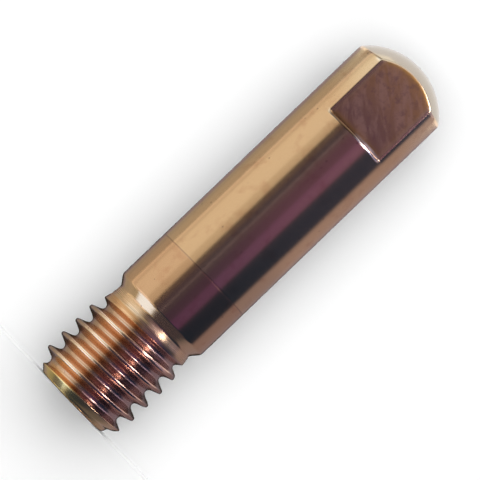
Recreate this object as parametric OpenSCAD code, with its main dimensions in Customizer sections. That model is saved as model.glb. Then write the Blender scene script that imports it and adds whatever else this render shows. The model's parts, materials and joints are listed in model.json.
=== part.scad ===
// Welding contact tip: one turned piece of copper that guides and feeds the wire of a welding torch.
// It stands on its threaded end at z = 0, with its axis along +Z towards the nose. Sizes are in millimetres.

/* [Body] */
// Overall length, from the threaded end face to the rim of the bore in the nose
total_l = 25; // [20:0.5:40]
// Diameter of the plain body
body_d = 5.85; // [5.2:0.05:7]
// Radius of the domed nose
nose_r = 3.75; // [3.6:0.05:8]
// Distance of the scored ring from the threaded end face
score_z = 9.5; // [8.5:0.1:14]
// Width of the scored ring
score_w = 0.12; // [0.06:0.02:0.3]
// Depth of the scored ring
score_depth = 0.04; // [0.02:0.01:0.1]

/* [Thread] */
// Major diameter of the thread
thread_d = 5.85; // [5.2:0.05:7]
// Pitch of the thread
pitch = 1; // [0.7:0.05:1.25]
// Length of the thread, up to where its crests have run out
thread_l = 5.15; // [4:0.05:6]
// Length of the 45 degree lead-in at the end face
lead_in = 0.8; // [0.4:0.05:1]
// Length over which the last crests run out
crest_fade = 0.75; // [0.3:0.05:1.2]
// Length over which the groove runs out beyond the crests
groove_fade = 0.3; // [0.2:0.05:0.8]
// Angle about the axis at which the crest crosses the end face
thread_clock = 120; // [0:5:355]

/* [Neck] */
// Length of the neck between the groove's end and the shoulder
neck_l = 0.55; // [0.2:0.05:1]
// Depth of the neck below the thread's crests
neck_drop = 0.26; // [0.1:0.02:0.4]
// Depth of the relief that the neck runs down to under the shoulder
neck_relief = 0.12; // [0.02:0.02:0.3]
// Length of the conical shoulder between neck and body
shoulder_l = 0.5; // [0.2:0.05:1]

/* [Spanner flats] */
// Distance across the two spanner flats
flats_across = 4.5; // [3.4:0.1:5]
// Length of the spanner flats, back from the end of the nose
flats_l = 5; // [3:0.1:6.5]

/* [Wire bore] */
// Diameter of the wire bore
bore_d = 1; // [0.7:0.1:1.8]
// Diameter of the countersunk mouth at the threaded end
mouth_d = 2.2; // [2:0.1:3]
// Included angle of the countersunk mouth
mouth_angle = 60; // [40:5:120]
// Width of the broken edge where the bore leaves the nose
nose_break = 0.1; // [0.05:0.01:0.2]

/* [Hidden] */
$fn = 96;

// Radii, worked out from the sizes above.
body_r = body_d / 2;
thread_r = thread_d / 2;
neck_r = thread_r - neck_drop;
end_r = thread_r - lead_in;
bore_r = bore_d / 2;
rim_r = bore_r + nose_break;

// Heights along the axis.
mouth_depth = (mouth_d - bore_d) / 2 / tan(mouth_angle / 2);
groove_end_z = thread_l + groove_fade;
shoulder_z = groove_end_z + neck_l;
body_z = shoulder_z + shoulder_l;
nose_centre_z = total_l - sqrt(nose_r * nose_r - rim_r * rim_r);

// The metric thread form: sixty degree flanks, a crest of an eighth of the pitch and a flat root.
flank_angle = 30;
thread_depth = 17 / 24 * pitch * cos(flank_angle);
root_r = thread_r - thread_depth;
crest_w = pitch / 8;
flank_w = thread_depth * tan(flank_angle);
root_w = pitch - crest_w - 2 * flank_w;

// One pitch of the form as [height, radius] points, from the start of the root to the end of the crest.
thread_form = [
    [-crest_w / 2 - flank_w - root_w, root_r],
    [-crest_w / 2 - flank_w, root_r],
    [-crest_w / 2, thread_r],
    [crest_w / 2, thread_r]
];

// Steps of the helix in one turn, and the turns by which the rod is overlong at each end.
turn_steps = 48;
spare_turns = 2;
// How far a cutter reaches past the surface that it opens, and the share by which a cone runs on past its ends.
past = 1;
run_on = 0.25;

// A point of the thread form, carried up the right-hand helix by a number of steps.
function helix_point(step, form_point) =
    let (angle = thread_clock + 360 * step / turn_steps)
    [
        form_point[1] * cos(angle),
        form_point[1] * sin(angle),
        form_point[0] + pitch * step / turn_steps
    ];

// An overlong threaded rod: a ribbon one pitch wide, wound so that each turn's top edge is the next one's bottom edge.
// Each end is closed by a fan of triangles to a point on the axis.
module threaded_rod(first_turn, last_turn) {
    first = first_turn * turn_steps;
    steps = (last_turn - first_turn) * turn_steps;
    rows = len(thread_form);
    ribbon_points = [
        for (i = [0 : steps + turn_steps]) for (form_point = thread_form) helix_point(first + i, form_point)
    ];
    bottom = len(ribbon_points);
    top = bottom + 1;
    axis_points = [[0, 0, (first_turn - 1) * pitch], [0, 0, (last_turn + 1) * pitch]];
    index = function (i, j) j == rows ? (i + turn_steps) * rows : i * rows + j;
    ribbon = [
        for (i = [0 : steps - 1]) for (j = [0 : rows - 1]) each [
            [index(i, j), index(i, j + 1), index(i + 1, j + 1)],
            [index(i, j), index(i + 1, j + 1), index(i + 1, j)]
        ]
    ];
    bottom_fan = concat(
        [for (i = [0 : turn_steps - 1]) [bottom, index(i, 0), index(i + 1, 0)]],
        [for (j = [0 : rows - 1]) [bottom, index(0, j + 1), index(0, j)]]
    );
    top_fan = concat(
        [for (i = [steps : steps + turn_steps - 1]) [top, index(i + 1, 0), index(i, 0)]],
        [for (j = [0 : rows - 1]) [top, index(steps, j), index(steps, j + 1)]]
    );
    polyhedron(concat(ribbon_points, axis_points), concat(ribbon, bottom_fan, top_fan), convexity = 10);
}

// The rolled thread: the rod pointed by its lead-in, its last crests brought down to the neck.
module thread() {
    crest_past = run_on * neck_drop;
    intersection() {
        threaded_rod(-spare_turns, ceil(shoulder_z / pitch) + spare_turns);
        rotate_extrude() polygon([
            [0, 0],
            [end_r, 0],
            [thread_r + crest_past, lead_in + crest_past],
            [thread_r + crest_past, thread_l - crest_fade * (1 + run_on)],
            [neck_r, thread_l],
            [neck_r, groove_end_z],
            [root_r, shoulder_z],
            [0, shoulder_z]
        ]);
    }
}

// The turned blank above the thread, overlong at the nose. Its lowest cone fills the groove, so that the groove
// runs out into the neck.
module blank() {
    rotate_extrude() polygon([
        [0, thread_l - run_on * groove_fade],
        [root_r - run_on * (neck_r - root_r), thread_l - run_on * groove_fade],
        [neck_r, groove_end_z],
        [neck_r - neck_relief, shoulder_z],
        [body_r, body_z],
        [body_r, score_z - score_w / 2],
        [body_r - score_depth, score_z],
        [body_r, score_z + score_w / 2],
        [body_r, total_l + past],
        [0, total_l + past]
    ]);
}

// What the turning tool takes off the nose: all that lies outside the sphere, from its centre up.
module nose_cut() {
    translate([0, 0, nose_centre_z]) difference() {
        cylinder(r = nose_r + past, h = nose_r + past);
        sphere(nose_r);
    }
}

// The wire's way: a countersunk mouth, the bore, and a broken edge where the bore leaves the nose.
module wire_way() {
    rotate_extrude() polygon([
        [0, -past],
        [mouth_d / 2, -past],
        [mouth_d / 2, 0],
        [bore_r, mouth_depth],
        [bore_r, total_l - nose_break],
        [rim_r + past, total_l + past],
        [0, total_l + past]
    ]);
}

// One spanner flat, milled square across the body and out over the nose.
module spanner_cut() {
    translate([-body_r - past, flats_across / 2, total_l - flats_l])
        cube([body_d + 2 * past, body_r, flats_l + past]);
}

module contact_tip() {
    color("#c08a5a")
    difference() {
        union() {
            thread();
            blank();
        }
        nose_cut();
        wire_way();
        for (side = [0, 180]) rotate([0, 0, side]) spanner_cut();
    }
}

contact_tip();
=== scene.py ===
import json

import bpy
import numpy as np
from mathutils import Matrix, Vector


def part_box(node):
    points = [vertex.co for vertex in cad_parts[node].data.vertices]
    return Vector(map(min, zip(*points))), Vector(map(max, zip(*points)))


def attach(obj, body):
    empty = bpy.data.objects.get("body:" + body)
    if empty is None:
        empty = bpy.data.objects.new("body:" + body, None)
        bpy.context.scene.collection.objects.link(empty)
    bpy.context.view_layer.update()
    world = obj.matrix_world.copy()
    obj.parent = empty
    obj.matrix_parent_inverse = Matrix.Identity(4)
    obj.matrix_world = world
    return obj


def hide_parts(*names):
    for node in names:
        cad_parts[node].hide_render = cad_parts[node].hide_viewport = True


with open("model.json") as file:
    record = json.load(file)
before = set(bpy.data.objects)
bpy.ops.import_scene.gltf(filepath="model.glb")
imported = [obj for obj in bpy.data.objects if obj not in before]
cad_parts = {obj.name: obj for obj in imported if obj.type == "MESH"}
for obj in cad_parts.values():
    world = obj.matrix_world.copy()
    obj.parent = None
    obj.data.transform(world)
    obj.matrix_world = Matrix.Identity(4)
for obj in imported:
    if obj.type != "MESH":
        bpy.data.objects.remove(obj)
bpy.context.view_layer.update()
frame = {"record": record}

# The contact tip: one piece turned from copper bar, with a rolled M6 thread, two milled spanner flats, a
# domed nose and a drilled wire bore. It is bare metal with a light tarnish, so its looks are its edges, its
# turning lines and its gloss. Sizes are in millimetres, along the axis from the threaded end face.
MM = 0.001
mounts = {mount["name"]: mount for mount in frame["record"]["mounts"]}
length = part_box("contact_tip")[1].z / MM
body_r = mounts["thread"]["dims"]["r_mm"]
thread_l = mounts["thread"]["dims"]["length_mm"]
bore_r = mounts["wire_bore"]["dims"]["r_mm"]
flat_y = abs(mounts["front_flat"]["pos_m"][1]) / MM

# The thread, from its lead-in to where its groove has run out. Its crests and roots are set a little low,
# because their rounding adds to the radius.
pitch = 1.0
thread_clock = np.radians(120)
flank_slope = 3.0
flank_angle = np.radians(30)
thread_depth = 17 / 24 * pitch * np.cos(flank_angle)
root_cut = 0.07
root_r = body_r - thread_depth - root_cut
crest_cut = 0.022
crest_r = body_r - crest_cut
crest_half_w = 0.085
crest_bend = 0.1
root_bend = 0.3
root_soft = 0.05
lead_in = 0.8
end_r = body_r - lead_in
start_drop = 0.5
start_reach = 0.35
crest_fade = 0.75
groove_fade = 0.3

# The neck, the shoulder and the scored ring.
neck_drop = 0.26
neck_r = body_r - neck_drop
neck_relief = 0.17
relief_z = 5.2
shoulder_z = 6.0
shoulder_l = 0.5
body_z = shoulder_z + shoulder_l
score_z = 9.5
score_half_w = 0.05
score_depth = 0.006
score_bend = 0.2
edge_bend = 0.06
neck_bend = 0.16

# The flats, the nose and the wire bore.
flats_l = 5
flats_z = length - flats_l
flat_half_w = np.sqrt(body_r ** 2 - flat_y ** 2)
flat_edge_round = 0.05
step_round = 0.2
corner_round = 0.03
nose_r = 3.75
nose_break = 0.1
rim_r = bore_r + nose_break
nose_centre_z = length - np.sqrt(nose_r ** 2 - rim_r ** 2)
mouth_r = 1.1
mouth_half_angle = np.radians(30)
mouth_depth = (mouth_r - bore_r) / np.tan(mouth_half_angle)


def soft_max(a, b, bend):
    """The greater of two surfaces, joined by a hyperbola that rounds off the crossing over about the length
    bend."""
    return (a + b + np.sqrt((a - b) ** 2 + bend ** 2)) / 2


def soft_min(a, b, bend):
    """The lesser of two surfaces, joined in the same way."""
    return -soft_max(-a, -b, bend)


def crowded(low, high, count, places, reach, gain, finer=20):
    """Values from low to high at equal shares of a density: one everywhere, plus gain times a bell curve of
    that reach around each of the places. The density is summed in finer steps, so many for each value."""
    fine = np.linspace(low, high, finer * count)
    density = 1 + gain * np.exp(-((fine[:, None] - np.asarray(places)) / reach) ** 2).sum(axis=1)
    share = np.concatenate([[0], np.cumsum((density[1:] + density[:-1]) / 2)])
    return np.interp(np.linspace(0, share[-1], count), share, fine)


def outer_radius(turn, height):
    """The radius from the end face up to the flats. The thread falls off with the distance to the nearest
    crest, from a rounded crest to a rounded root, and a crest climbs one pitch a turn from a blunt start.
    It is cut by the cone of its lead-in and by the cone on which it runs out, and the turned neck, shoulder
    and body rise out of it."""
    climb = height / pitch - (turn - thread_clock) / (2 * np.pi)
    from_crest = (climb - np.round(climb)) * pitch
    from_root = np.hypot(pitch / 2 - np.abs(from_crest), root_soft)
    fall = soft_max(flank_slope * (pitch / 2 - crest_half_w - from_root), 0, crest_bend)
    crest = crest_r - start_drop * np.exp(-height / start_reach)
    form = soft_max(crest - fall, root_r, root_bend)
    run_out = body_r - (height - thread_l + crest_fade) * (body_r - neck_r) / crest_fade
    thread = soft_min(form, soft_min(end_r + height, run_out, edge_bend), edge_bend)
    filled = root_r + (height - thread_l) * (neck_r - root_r) / groove_fade
    relieved = neck_r - neck_relief * (height - relief_z) / (shoulder_z - relief_z)
    neck = soft_min(filled, relieved, neck_bend)
    shoulder = neck_r - neck_relief + (height - shoulder_z) * (body_r - neck_r + neck_relief) / shoulder_l
    score = score_depth * soft_max(1 - np.abs(height - score_z) / score_half_w, 0, score_bend)
    turned = soft_min(soft_max(neck, shoulder, edge_bend), body_r - score, edge_bend)
    return soft_max(thread, turned, neck_bend)


def flat_radius(turn, least_sine=0.3):
    """The radius across the nose end: the lesser of the body's and of the two flats', which lie at flat_y
    across Y. The sine of the turn is kept from zero, where the flats are far outside the body."""
    return soft_min(body_r, flat_y / np.maximum(np.abs(np.sin(turn)), least_sine), flat_edge_round)


def bent_line(corners, bend, steps):
    """Points along a line with corners, each corner replaced by a parabola that starts and ends at its own
    length bend from it."""
    corners = np.asarray(corners, float)
    bend = np.asarray(bend)[:, None, None]
    sides = np.diff(corners, axis=0)
    along = sides / np.linalg.norm(sides, axis=1)[:, None]
    t = np.linspace(0, 1, steps)[None, :, None]
    middle = corners[1:-1, None]
    before = middle - bend * along[:-1, None]
    after = middle + bend * along[1:, None]
    curves = (1 - t) ** 2 * before + 2 * t * (1 - t) * middle + t ** 2 * after
    return curves.reshape(-1, 2)


# The grid's columns go round the axis and crowd at the four edges of the flats.
columns = 200
edge_reach = 0.03
edge_gain = 8
flat_half_angle = np.arccos(flat_y / body_r)
quarters = np.pi / 2 * np.array([1, 1, 3, 3])
edge_turns = quarters + flat_half_angle * np.array([-1, 1, -1, 1])
turn = crowded(0, 2 * np.pi, columns + 1, edge_turns, edge_reach, edge_gain)[:-1][None, :]

# Its rows go up the thread and the body, over the step into the flats, up those, over the dome, and back
# down the bore. On the body they crowd at its corners and at the scored ring.
first_row_z = 0.05
thread_top_z = 5.7
thread_rows = 249
body_rows = 80
corner_reach = 0.08
corner_gain = 60
step_edge_z = flats_z - step_round
score_heights = [score_z - score_half_w, score_z, score_z + score_half_w]
corner_heights = [shoulder_z, body_z, *score_heights, step_edge_z]
thread_heights = np.linspace(first_row_z, thread_top_z, thread_rows, endpoint=False)
body_heights = crowded(thread_top_z, step_edge_z, body_rows, corner_heights, corner_reach, corner_gain)
height = np.concatenate([thread_heights, body_heights])[:, None]
outer = outer_radius(turn, height)
across = flat_radius(turn)

# At the step, each column turns in over a round edge, and up again in a tighter corner, both as large as
# the depth of its step allows. Where there is no room for them, the rows spread out over the same height.
step_rows = 10
least_drop = 1e-6
edge_share = 0.7
corner_share = 0.3
first_share = 0.1
bow = np.linspace(0, np.pi / 2, step_rows)[:, None]
even = np.linspace(0, 1, step_rows)[:, None]
drop = np.maximum(body_r - across, least_drop)
edge_r = np.minimum(step_round, edge_share * drop)
corner_r = np.minimum(corner_round, corner_share * drop)
spread = first_share + (1 - first_share) * even
edge_z = edge_r * (np.sin(bow) - 1) + (step_round - edge_r) * (even - 1)
corner_z = corner_r * (1 - np.cos(bow)) + (corner_round - corner_r) * spread
edge_radius = body_r - edge_r * (1 - np.cos(bow))
corner_radius = across + corner_r * (1 - np.sin(bow))
step_r = np.concatenate([edge_radius[1:], corner_radius])
step_z = flats_z + np.concatenate([edge_z[1:], corner_z])

# A column counts as milled where its flat lies well below the body's round. The flats' rows end a little
# below the crease with the dome, which is at the tilt of the sphere that has the flat's radius.
milled_depth = 4 * flat_edge_round
dome_lead = 0.16
flat_rows = 24
milled = np.clip((body_r - across) / milled_depth, 0, 1)
crease = np.arcsin(across / nose_r)
dome_start = crease + dome_lead
flat_share = np.linspace(0, 1, flat_rows + 2)[1:-1, None]
flat_top = nose_centre_z + nose_r * np.cos(dome_start)
flat_z = step_z[-1] + (flat_top - step_z[-1]) * flat_share

# The dome's rows crowd at the crease from both sides, and end where the rounded rim of the bore begins.
crease_rows = 14
crease_power = 1.6
nose_rows = 26
nose_power = 1.8
rim_margin = 0.06
crease_bend = 0.06
milled_bend = 0.06
to_crease = np.linspace(1, 0, crease_rows, endpoint=False)[:, None] ** crease_power
from_crease = np.linspace(0, 1, nose_rows)[:, None] ** nose_power
nose_tilt = np.arcsin((rim_r + rim_margin) / nose_r)
below_crease = (dome_start - crease) * to_crease
above_crease = (nose_tilt - crease) * from_crease
tilt = crease + np.concatenate([below_crease, above_crease])
dome_r = soft_min(across, nose_r * np.sin(tilt), crease_bend + milled_bend * milled)
dome_z = nose_centre_z + nose_r * np.cos(tilt)

# Inside, a line goes over the rim, down the bore, out along the mouth and the end face, and up the lead-in.
run_on = 0.1
inside_bend = 0.04
end_bend = 0.12
inside_steps = 8
inside = bent_line(
    [
        (rim_r + run_on, length - run_on * rim_r / nose_r),
        (rim_r, length),
        (bore_r, length - nose_break),
        (bore_r, mouth_depth),
        (mouth_r, 0),
        (end_r, 0),
        (end_r + run_on, run_on),
    ],
    [inside_bend, inside_bend, inside_bend, inside_bend, end_bend],
    inside_steps,
)

whole = np.ones_like(turn)
radius = np.concatenate([outer, step_r, across + 0 * flat_z, dome_r, inside[:, :1] * whole])
rise = np.concatenate([height * whole, step_z, flat_z, dome_z, inside[:, 1:] * whole])
points = np.stack([radius * np.cos(turn), radius * np.sin(turn), rise], axis=-1) * MM

# What a surface point lies on, for the finish and for the painted light and shade: how deep in a groove of
# the thread, on the dome, on a milled flat, how near that flat's rim, and on the step up to it.
groove_start_z = 0.3
groove_start_l = 0.5
dome_margin = 0.03
dome_blend = 0.05
rim_reach = 0.18
step_row = len(outer)
flat_row = step_row + len(step_r)
dome_row = flat_row + len(flat_z)
on_thread = rise < thread_l + groove_fade
groove = np.where(on_thread & (radius > end_r), np.clip((body_r - radius) / thread_depth, 0, 1), 0)
groove = groove * np.clip((rise - groove_start_z) / groove_start_l, 0, 1)
on_dome = np.zeros_like(radius)
on_dome[dome_row:dome_row + len(tilt)] = np.clip((crease + dome_margin - tilt) / dome_blend, 0, 1)
on_flat = np.where((rise > flats_z) & (radius > rim_r), milled, 0) * (1 - on_dome)
to_side = flat_half_w - np.abs(radius * np.cos(turn))
to_end = np.minimum(rise - flats_z, nose_centre_z + nose_r * np.cos(crease) - rise)
on_rim = on_flat * np.exp(-np.maximum(np.minimum(to_side, to_end), 0) / rim_reach)
on_step = np.zeros_like(radius)
on_step[step_row:flat_row] = milled
surface_places = {
    "groove": groove,
    "on_dome": on_dome,
    "on_flat": on_flat,
    "on_rim": on_rim,
    "on_step": on_step,
}


def grid_mesh(name, points, closed):
    """A mesh of quads over a grid of points. A closed one joins up with itself both ways."""
    index = np.arange(points.shape[0] * points.shape[1]).reshape(points.shape[:2])
    if closed:
        index = np.pad(index, (0, 1), "wrap")
    quads = np.stack([index[:-1, :-1], index[:-1, 1:], index[1:, 1:], index[1:, :-1]], axis=-1)
    mesh = bpy.data.meshes.new(name)
    mesh.vertices.add(points.size // 3)
    mesh.vertices.foreach_set("co", points.ravel())
    mesh.loops.add(quads.size)
    mesh.loops.foreach_set("vertex_index", quads.ravel())
    mesh.polygons.add(quads.size // 4)
    mesh.polygons.foreach_set("loop_start", np.arange(0, quads.size, 4))
    mesh.update(calc_edges=True)
    mesh.shade_smooth()
    return mesh


tip_mesh = grid_mesh("contact_tip_surface", points, closed=True)
for name, values in surface_places.items():
    tip_mesh.attributes.new(name, "FLOAT", "POINT").data.foreach_set("value", values.ravel())
tip = bpy.data.objects.new("contact_tip_finished", tip_mesh)
bpy.context.scene.collection.objects.link(tip)
tip.visible_diffuse = False


class Shade:
    """A value in a node tree. Its operators add Math nodes, and node() adds any other node."""

    def __init__(self, tree, socket=None):
        self.tree = tree
        self.socket = socket

    def node(self, kind, settings=(), inputs=(), output=0):
        """Adds a node of that type, sets its settings and then its sockets' values or links, and returns
        one output."""
        made = self.tree.nodes.new("ShaderNode" + kind)
        for name, value in dict(settings).items():
            setattr(made, name, value)
        for name, value in dict(inputs).items():
            if isinstance(value, Shade):
                self.tree.links.new(value.socket, made.inputs[name])
            else:
                made.inputs[name].default_value = value
        return Shade(self.tree, made.outputs[output] if made.outputs else None)

    def maths(self, operation, *values):
        """A Math node of this value and the others."""
        return self.node("Math", {"operation": operation}, dict(enumerate([self, *values])))

    def __add__(self, other):
        return self.maths("ADD", other)

    def __radd__(self, other):
        return self + other

    def __sub__(self, other):
        return self.maths("SUBTRACT", other)

    def __rsub__(self, other):
        return self * -1 + other

    def __mul__(self, other):
        return self.maths("MULTIPLY", other)

    def __rmul__(self, other):
        return self * other

    def ramp(self, low, high):
        """A smooth step of this value, from 0 at low to 1 at high."""
        ends = {"Value": self, "From Min": low, "From Max": high}
        return self.node("MapRange", {"interpolation_type": "SMOOTHSTEP"}, ends)

    def mix(self, bottom, top):
        """The colour bottom where this value is 0, and top where it is 1. The Mix node's sockets for colours
        are its inputs 6 and 7 and its output 2."""
        return self.node("Mix", {"data_type": "RGBA"}, {0: self, 6: bottom, 7: top}, 2)


def new_tree(name):
    """A material of that name with an empty tree, and the tree."""
    material = bpy.data.materials.new(name)
    material.use_nodes = True
    material.node_tree.nodes.clear()
    return material, Shade(material.node_tree)


bright_copper = (0.80, 0.53, 0.33, 1)
pale_copper = (0.88, 0.64, 0.43, 1)
# The dome's greyer copper is a painted pale reflection.
nose_copper = (0.54, 0.47, 0.39, 1)
red_copper = (0.66, 0.36, 0.22, 1)
# Tarnish and dirt, and also the painted shade at the thread's edges.
brown_tarnish_and_shade = (0.36, 0.21, 0.15, 1)
milled_purple = (0.29, 0.155, 0.14, 1)
milled_brown = (0.47, 0.25, 0.14, 1)
milled_pale = (0.56, 0.33, 0.25, 1)
# A painted golden sheen for the flats' rims.
rim_sheen_gold = (0.54, 0.28, 0.04, 1)
flank_copper = (0.74, 0.39, 0.18, 1)
root_copper = (0.66, 0.41, 0.28, 1)
root_brown = (0.88, 0.55, 0.41, 1)
root_purple = (0.56, 0.37, 0.34, 1)
crest_pale = (0.94, 0.70, 0.53, 1)
crest_brown = (0.62, 0.38, 0.28, 1)
crest_pink = (0.72, 0.46, 0.36, 1)
# A painted highlight for the lead-in.
lead_in_highlight = (0.92, 0.66, 0.29, 1)
# The step's painted shade, painted highlight and grey.
step_painted_shade = (0.14, 0.08, 0.05, 1)
step_painted_highlight = (0.95, 0.86, 0.90, 1)
step_grey = (0.42, 0.36, 0.38, 1)

# Where the point lies: along the axis and across it in millimetres, and on which of the surface's places.
copper, tree = new_tree("bare_copper")
place = tree.node("TexCoord", output="Object")
height_mm = tree.node("SeparateXYZ", {}, {0: place}, "Z") * (1 / MM)
across_mm = tree.node("SeparateXYZ", {}, {0: place}, "X") * (1 / MM)
in_groove, on_nose, on_milled, on_edge, at_step = [
    tree.node("Attribute", {"attribute_name": name}, {}, "Fac") for name in surface_places
]

# The patterns: fine turning lines around the axis, cloudy tarnish, mottled stains, the mill's slanted
# streaks and dark specks.
turning_stretch = (400, 400, 26000)
streak_slant = (0, np.radians(40), 0)
streak_size = (1 / 600, 1 / 600, 1 / 2400)
turning_place = tree.node("VectorMath", {"operation": "MULTIPLY"}, {0: place, 1: turning_stretch})
slanted = {"Vector": place, "Rotation": streak_slant, "Scale": streak_size}
streak_place = tree.node("Mapping", {"vector_type": "TEXTURE"}, slanted)
turning, tarnish, mottle, streaks = [
    tree.node("TexNoise", {}, kind, "Fac")
    for kind in (
        {"Vector": turning_place, "Scale": 1, "Detail": 3, "Roughness": 0.6},
        {"Vector": place, "Scale": 900, "Detail": 4, "Roughness": 0.6},
        {"Vector": place, "Scale": 2600, "Detail": 3, "Roughness": 0.65},
        {"Vector": streak_place, "Scale": 1, "Detail": 3, "Distortion": 0.6},
    )
]
specks = tree.node("TexVoronoi", {}, {"Vector": place, "Scale": 1400}, "Distance")

# The body reddens in clouds and ahead of the scored ring, and pales towards the flats.
tarnish_share = 0.5
fore_body_share = 0.4
from_shoulder = height_mm.ramp(body_z - 0.1, body_z + 0.1)
past_score = height_mm.ramp(score_z - score_half_w, score_z + score_half_w)
to_nose = height_mm.ramp(flats_z + 0.5, flats_z + 3)
fore_body = from_shoulder * (1 - past_score)
redness = tarnish.ramp(0.5, 0.75) * tarnish_share + fore_body * fore_body_share
colour = redness.mix(to_nose.mix(bright_copper, pale_copper), red_copper)

# The lead-in is painted a bright gold, a painted highlight that fades on its shaded side, and across the
# thread its crests are painted pale on the lit side and brown and pink towards the shaded side, painted
# light and shade.
highlight_fade = 0.6
crest_mottle = 0.4
past_lead_in = height_mm.ramp(lead_in / 2, lead_in)
shaded_side = (across_mm + mottle).ramp(0.2, 1.2)
colour = ((1 - past_lead_in) * (1 - shaded_side * highlight_fade)).mix(colour, lead_in_highlight)
on_crests = height_mm.ramp(0.6, 0.9) * (1 - height_mm.ramp(4.9, 5.2))
crest_tone = (across_mm + mottle * crest_mottle).ramp(-0.9, -0.4).mix(crest_pale, crest_brown)
colour = on_crests.mix(colour, shaded_side.mix(crest_tone, crest_pink))

# Its grooves have their own tones from flank to root. Across the thread they are painted, bright in the
# middle and purple towards the shaded side, painted light and shade, and the thread's edges are darkened, a
# painted shade.
groove_share = 0.9
edge_shade_share = 0.6
groove_tone = in_groove.ramp(0.75, 0.98).mix(flank_copper, root_copper)
groove_tone = (across_mm + mottle).ramp(-0.3, 0.6).mix(groove_tone, root_brown)
groove_tone = (across_mm + mottle).ramp(0.8, 1.6).mix(groove_tone, root_purple)
colour = (in_groove.ramp(0.1, 0.6) * groove_share).mix(colour, groove_tone)
thread_edge_shade = on_crests * across_mm.maths("ABSOLUTE").ramp(1.8, 2.7)
colour = (thread_edge_shade * edge_shade_share).mix(colour, brown_tarnish_and_shade)

# The milled flats are dark and streaked, with a painted golden sheen along their rims, and the dome is
# painted greyer than the body, a painted pale reflection of the light above it.
milled_mottle = 3
streak_share = 0.65
stain_share = 0.65
rim_share = 0.9
milled_tone = (height_mm + mottle * milled_mottle).ramp(21.5, 24.5).mix(milled_purple, milled_brown)
milled_tone = (streaks.ramp(0.4, 0.65) * streak_share).mix(milled_tone, milled_pale)
milled_tone = (mottle.ramp(0.45, 0.7) * stain_share).mix(milled_tone, milled_purple)
milled_tone = (on_edge * rim_share).mix(milled_tone, rim_sheen_gold)
colour = on_milled.mix(on_nose.mix(colour, nose_copper), milled_tone)

# The step up to a flat is painted dark on one side, a painted shade over its edge's gleam, and grey on the
# other, with a painted highlight spot.
highlight_x = 0.95
step_share = 0.9
highlight_spot = 1 - (across_mm - highlight_x).maths("ABSOLUTE").ramp(0.15, 0.5)
step_tone = across_mm.ramp(-0.2, 0.3).mix(step_painted_shade, highlight_spot.mix(step_grey, step_painted_highlight))
colour = (at_step * step_share).mix(colour, step_tone)

# The scored ring is darkened along its line, and dirt lies in the specks.
score_shade_w = 0.06
score_share = 0.6
speck_share = 0.7
score_line = 1 - (height_mm - score_z).maths("ABSOLUTE").ramp(0, score_shade_w)
colour = (score_line * score_share).mix(colour, brown_tarnish_and_shade)
colour = ((1 - specks.ramp(0.03, 0.09)) * speck_share).mix(colour, brown_tarnish_and_shade)

# The turned metal is glossy, and the milled flats, the grooves and the neck are duller.
gloss_base = 0.16
gloss_turning = 0.05
gloss_milled = 0.26
gloss_groove = 0.07
gloss_neck = 0.09
on_neck = height_mm.ramp(5.2, 5.4) * (1 - height_mm.ramp(5.9, 6.0))
gloss = gloss_base + turning * gloss_turning + on_milled * gloss_milled + in_groove * gloss_groove
gloss = gloss + on_neck * gloss_neck

# The turning lines stand out a little, most of all on the neck, and the milled flats are uneven instead.
turned_relief = 0.4
milled_relief = 2
bump_strength = 0.25
bump_height = 0.00001
relief = turning * (1 - on_milled) * (turned_relief + on_neck) + on_milled * mottle * milled_relief
bump_inputs = {"Strength": bump_strength, "Distance": bump_height, "Height": relief}
bump = tree.node("Bump", {}, bump_inputs, "Normal")
surface = {"Base Color": colour, "Metallic": 1.0, "Roughness": gloss, "Normal": bump}
metal = tree.node("BsdfPrincipled", {}, surface)
tree.node("OutputMaterial", {}, {"Surface": metal})
tip_mesh.materials.append(copper)
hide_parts("contact_tip")
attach(tip, "root")

# The camera: a long lens level with the neck, a little to the left of the front flat, turned about its own
# axis so that the tip points up to the right.
camera_distance = 0.169
camera_height = 0.0051
camera_turn = np.radians(-5.7)
aim = Vector((0.00002, 0, 0.0121))
view_width = 0.02492
lean = np.radians(46.15)
camera_data = bpy.data.cameras.new("camera")
camera = bpy.data.objects.new("camera", camera_data)
bpy.context.scene.collection.objects.link(camera)
camera.location = (
    camera_distance * np.sin(camera_turn),
    -camera_distance * np.cos(camera_turn),
    camera_height,
)
towards = aim - camera.location
camera_data.lens = camera_data.sensor_width * towards.length / view_width
camera_data.clip_start = 0.01
facing = towards.to_track_quat("-Z", "Y").to_matrix()
camera.rotation_euler = (facing @ Matrix.Rotation(lean, 3, "Z")).to_euler()
bpy.context.scene.camera = camera

# The stage: a floor of pale paper that the tip stands on, and a wall of it close behind, which takes its
# soft shadow. The floor ends just in front of the tip, and the wall goes on below it. From behind or below
# they can be seen through.
stage_reach = 0.3
floor_front_y = -0.0026
wall_y = 0.0031


def stage_piece(name, points, material, hidden_from):
    """A piece of the studio over a grid of points, hidden from those kinds of rays."""
    mesh = grid_mesh(name, points, closed=False)
    mesh.materials.append(material)
    piece = bpy.data.objects.new(name, mesh)
    bpy.context.scene.collection.objects.link(piece)
    for kind in hidden_from:
        setattr(piece, "visible_" + kind, False)
    return piece


def paper_sheet(name, profile):
    """A sheet along a straight line between two (y, z) points, turned to face the camera, which alone sees
    it."""
    y, z = np.asarray(profile).T[:, :, None]
    x = stage_reach * np.array([[-1, 1]])
    cos = np.cos(camera_turn)
    sin = np.sin(camera_turn)
    points = np.stack([x * cos - y * sin, x * sin + y * cos, z + 0 * x], axis=-1)
    return stage_piece(name, points, paper, ["glossy", "diffuse", "shadow"])


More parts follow.
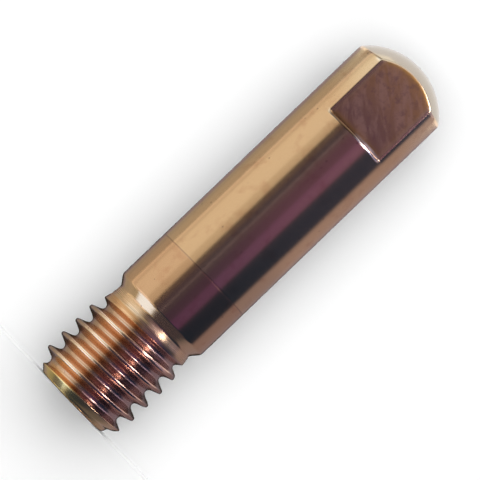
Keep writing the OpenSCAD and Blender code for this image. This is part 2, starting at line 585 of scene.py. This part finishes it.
pale = (0.95, 0.95, 0.95, 1)
shadow_glow = 0.1
paper, tree = new_tree("white_paper")
behind = tree.node("NewGeometry", output="Backfacing")
glow = tree.node("Emission", {}, {"Color": pale, "Strength": shadow_glow})
front = tree.node("AddShader", {}, {0: tree.node("BsdfDiffuse", {}, {"Color": pale}), 1: glow})
sides = {0: behind, 1: front, 2: tree.node("BsdfTransparent")}
tree.node("OutputMaterial", {}, {"Surface": tree.node("MixShader", {}, sides)})
floor = paper_sheet("floor", [(floor_front_y, 0), (stage_reach, 0)])
paper_sheet("wall", [(wall_y, -stage_reach), (wall_y, stage_reach)])

# The studio's lamps: large soft boxes and cards around the tip. Azimuth is measured from the camera, to
# its right, and elevation from the floor up, both in degrees. Some light only the paper, and the rest only
# show in the metal.
far = 0.2
near = 0.06
close = 0.03


def soft_box(name, azimuths, elevations, radiance, distance=far, for_paper=False):
    """A rectangular lamp that spans those two angles each way and faces the tip from that distance. Its
    power is its radiance times pi times its area."""
    data = bpy.data.lights.new(name, "AREA")
    data.shape = "RECTANGLE"
    data.size = 2 * distance * np.tan(np.radians(azimuths[1] - azimuths[0]) / 2)
    data.size_y = 2 * distance * np.tan(np.radians(elevations[1] - elevations[0]) / 2)
    data.energy = np.pi * data.size * data.size_y
    data.color = radiance
    data.cycles.use_multiple_importance_sampling = not for_paper
    lamp = bpy.data.objects.new(name, data)
    bpy.context.scene.collection.objects.link(lamp)
    around = camera_turn + np.radians(sum(azimuths) / 2)
    up = np.radians(sum(elevations) / 2)
    outward = Vector((np.cos(up) * np.sin(around), -np.cos(up) * np.cos(around), np.sin(up)))
    lamp.location = aim + outward * distance
    lamp.rotation_euler = outward.to_track_quat("Z", "Y").to_euler()
    lamp.visible_camera = False
    lamp.visible_glossy = not for_paper
    lamp.visible_diffuse = for_paper
    return lamp


soft_box("left_box", (-104, -29.5), (-52, 30), (0.62, 0.575, 0.43))
soft_box("left_inner_box", (-90, -47), (-30, 30), (0.18, 0.20, 0.19))
soft_box("left_back_box", (-140, -98), (-60, 30), (0.10, 0.12, 0.015), close)
soft_box("left_rear_card", (-122, -104), (-60, 30), (0.072, 0.060, 0.050), close)
soft_box("left_window", (-80, -40), (14, 46), (0.34, 0.55, 0.8))
soft_box("left_low_window", (-80, -40), (-46, -14), (0.30, 0.35, 0.45))
soft_box("low_left_box", (-90, -60), (-75, -50), (0.80, 1.18, 1.8))
soft_box("upper_left_card", (-104, -29.5), (30, 80), (0.42, 0.37, 0.22))
soft_box("lower_left_card", (-110, -50), (-78, -50), (0.30, 0.27, 0.16))
soft_box("brown_card", (-25, 5), (-30, 30), (0.054, 0.036, 0.041))
soft_box("left_edge_card", (-32, -19), (-30, 30), (0.045, 0.028, 0.0))
soft_box("front_strip", (-8, -6), (-30, 30), (0.2, 0.2, 0.24))
soft_box("maroon_card", (5, 48), (-30, 30), (0.050, 0.020, 0.043))
soft_box("mauve_card", (23, 45), (-30, 30), (0.046, 0.013, 0.080))
soft_box("upper_front_card", (-5, 48), (3, 40), (0.055, 0.022, 0.038), near)
soft_box("upper_right_card", (48, 95), (3, 40), (0.015, 0.015, 0.03), near)
soft_box("right_window", (72, 112), (14, 44), (0.25, 0.22, 0.30))
soft_box("right_back_card", (100, 145), (3, 40), (0.09, 0.07, 0.055), close)
soft_box("key", (34, 43), (20, 32), (10.5, 10.5, 10.5))
soft_box("high_key", (45, 65), (46, 60), (12, 12, 12))
soft_box("front_bar", (5, 85), (33, 41), (1.0, 0.95, 1.2))
soft_box("nose_card", (-28, 28), (62, 88), (0.75, 0.75, 0.75), close)
soft_box("low_front_card", (-30, 60), (-85, -50), (0.05, 0.035, 0.03))
soft_box("paper_front", (-40, 40), (-28, 52), (2.22, 2.22, 2.22), for_paper=True)
paper_top = soft_box("paper_top", (-40, 40), (56, 136), (1.62, 1.62, 1.62), for_paper=True)
paper_top.light_linking.receiver_collection = bpy.data.collections.new("floor_only")
paper_top.light_linking.receiver_collection.objects.link(floor)

# The room: walls that only show in the metal, dark and bluish in front and pale behind, under an open white
# sky. Behind the tip they dip, and a low card stands close to it there, so that only the nose looks out
# over that card.
front_dark = (0.014, 0.028, 0.062, 1)
back_pale = (0.29, 0.26, 0.30, 1)
back_low = (0.14, 0.14, 0.16, 1)
straight_back_shadow = (0.02, 0.02, 0.015, 1)
felt, tree = new_tree("room_felt")
direction = tree.node("VectorMath", {"operation": "NORMALIZE"}, {0: tree.node("TexCoord", output="Object")})
away = (-np.sin(camera_turn), np.cos(camera_turn), 0)
backness = tree.node("VectorMath", {"operation": "DOT_PRODUCT"}, {0: direction, 1: away}, "Value")
upness = tree.node("SeparateXYZ", {}, {0: direction}, "Z")
# Straight behind the tip the walls are dark, a painted stand-in for the tip's shadow on the paper wall close
# behind it.
back = backness.ramp(0.84, 0.94).mix(back_pale, straight_back_shadow)
back = upness.ramp(-0.5, -0.8).mix(back, back_low)
shown = backness.ramp(0.06, 0.22).mix(front_dark, back)
tree.node("OutputMaterial", {}, {"Surface": tree.node("Emission", {}, {"Color": shown})})

# The walls are part of a sphere, from straight below up to a top in degrees, which dips behind the tip.
hidden_from = ["camera", "diffuse", "shadow"]
wall_distance = 0.5
wall_bottom = -90
wall_top = 84
wall_dip = 92
dip_start = 0.3
dip_width = 0.3
wall_columns = 97
wall_rows = 41
azimuth = np.linspace(0, 2 * np.pi, wall_columns)[None, :]
top = wall_top - wall_dip * np.clip((-np.cos(azimuth) - dip_start) / dip_width, 0, 1)
elevation = np.radians(wall_bottom + (top - wall_bottom) * np.linspace(0, 1, wall_rows)[:, None])
compass = camera_turn + azimuth
wall = [np.cos(elevation) * np.sin(compass), -np.cos(elevation) * np.cos(compass), np.sin(elevation)]
stage_piece("room", wall_distance * np.stack(wall, axis=-1), felt, hidden_from)

# The card is part of an upright cylinder about the tip.
card_distance = 0.04
card_bottom = -0.1
card_top = 0.0285
card_azimuths = (105, 255)
card_columns = 61
card_rows = 15
compass = camera_turn + np.radians(np.linspace(*card_azimuths, card_columns))[None, :]
card_z = np.linspace(card_bottom, card_top, card_rows)[:, None]
card = np.broadcast_arrays(card_distance * np.sin(compass), -card_distance * np.cos(compass), card_z)
stage_piece("back_card", np.stack(card, axis=-1), felt, hidden_from)

# The sky: white for the camera, and for what shows in a gloss or through a clear body. The paper gets no
# light from it.
world = bpy.data.worlds.new("studio")
world.use_nodes = True
world.node_tree.nodes.clear()
tree = Shade(world.node_tree)
rays = [tree.node("LightPath", output=f"Is {kind} Ray") for kind in ("Camera", "Glossy", "Transmission")]
white = rays[0].maths("MAXIMUM", rays[1]).maths("MAXIMUM", rays[2])
sky = tree.node("Background", {}, {"Color": (1, 1, 1, 1), "Strength": white})
tree.node("OutputWorld", {}, {"Surface": sky})
bpy.context.scene.world = world
bpy.context.scene.view_settings.view_transform = "Standard"
